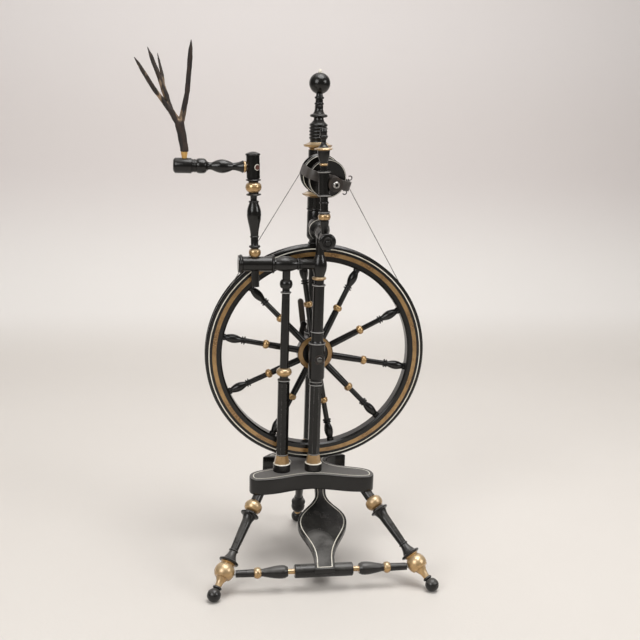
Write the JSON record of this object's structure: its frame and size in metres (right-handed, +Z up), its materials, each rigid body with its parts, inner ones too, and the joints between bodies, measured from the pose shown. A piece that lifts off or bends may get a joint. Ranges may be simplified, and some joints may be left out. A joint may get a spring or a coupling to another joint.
{
  "type": "upright spinning wheel",
  "caption": "Upright treadle spinning wheel in black turned wood with gilt rings: drive wheel over a waisted table, flyer above, treadle below and forked distaff branch on an arm.",
  "frame": {"origin": "on the floor, under the middle of the bounding box", "axes": "+Z up, the wheel facing -Y, the distaff at -X"},
  "size_m": [0.5484, 0.354, 0.9729],
  "materials": {
    "black_wood": "satin black lacquer with gilt and cream lines",
    "brown_wood": "dark worn wood",
    "bearing_leather": "dark greased leather",
    "steel": "worn steel",
    "iron": "dark forged iron",
    "cord": "grey twisted cord",
    "gilt_wood": "gilt",
    "bark": "natural bark"
  },
  "bodies": {
    "frame": {"table": "black_wood", "front_left_leg": "black_wood", "front_right_leg": "black_wood", "rear_leg": "black_wood", "main_post": "black_wood", "rear_post": "black_wood", "distaff_post": "black_wood", "cross_arm": "black_wood", "flyer_bar": "black_wood", "front_maiden": "black_wood", "front_bearing": "bearing_leather", "rear_bearing": "bearing_leather", "front_axle_bush": "bearing_leather", "rear_axle_bush": "bearing_leather", "drive_band": "cord"},
    "wheel": {"felloe_1": "black_wood", "felloe_2": "black_wood", "felloe_3": "black_wood", "felloe_4": "black_wood", "spoke_1": "black_wood", "spoke_2": "black_wood", "spoke_3": "black_wood", "spoke_4": "black_wood", "spoke_5": "black_wood", "spoke_6": "black_wood", "spoke_7": "black_wood", "spoke_8": "black_wood", "spoke_9": "black_wood", "spoke_10": "black_wood", "hub": "black_wood", "axle": "steel", "crank": "iron"},
    "bobbin": {"bobbin_whorl": "black_wood", "bobbin_core": "black_wood", "bobbin_disc": "black_wood"},
    "flyer": {"flyer_spindle": "steel", "flyer_arms": "brown_wood", "flyer_hooks": "iron"},
    "distaff": {"distaff_stem": "black_wood", "stem_peg": "brown_wood", "distaff_arm": "black_wood"},
    "branch": {"branch_peg": "gilt_wood", "distaff_branch": "bark"},
    "treadle": {"treadle_bar": "black_wood", "treadle_pins": "steel", "treadle_board": "black_wood", "footman_pin": "steel"},
    "footman": {"footman": "brown_wood"}
  },
  "joints": [
    {"name": "wheel_spin", "type": "hinge", "parent": "frame", "child": "wheel", "pos_m": [0.06116, 0.032, 0.405], "axis": [0, -1, 0], "continuous": true},
    {"name": "bobbin_spin", "type": "hinge", "parent": "frame", "child": "bobbin", "pos_m": [0.06116, 0.032, 0.745], "axis": [0.1297, -0.9853, -0.1115], "continuous": true},
    {"name": "flyer_spin", "type": "hinge", "parent": "frame", "child": "flyer", "pos_m": [0.06116, 0.032, 0.745], "axis": [0.1297, -0.9853, -0.1115], "continuous": true},
    {"name": "treadle_rock", "type": "hinge", "parent": "frame", "child": "treadle", "pos_m": [0.06116, -0.139, 0.0383], "axis": [1, 0, 0], "range_deg": [-18.6, 0]},
    {"name": "footman_swing", "type": "hinge", "parent": "treadle", "child": "footman", "pos_m": [0.09216, 0.113, 0.11], "axis": [1, 0, 0], "range_deg": [0, 18.6]},
    {"name": "distaff_swivel", "type": "hinge", "parent": "frame", "child": "distaff", "pos_m": [-0.06084, -0.0075, 0.5835], "axis": [-0.0366, 0, 0.9993], "range_deg": [-90, 90]},
    {"name": "branch_turn", "type": "hinge", "parent": "distaff", "child": "branch", "pos_m": [-0.18876, -0.0075, 0.75838], "axis": [0, 0, 1], "range_deg": [-180, 180]}
  ],
  "couplings": [
    {"joint": "bobbin_spin", "follows": "wheel_spin", "ratio": 5.9083},
    {"joint": "footman_swing", "follows": "treadle_rock", "ratio": -1}
  ]
}
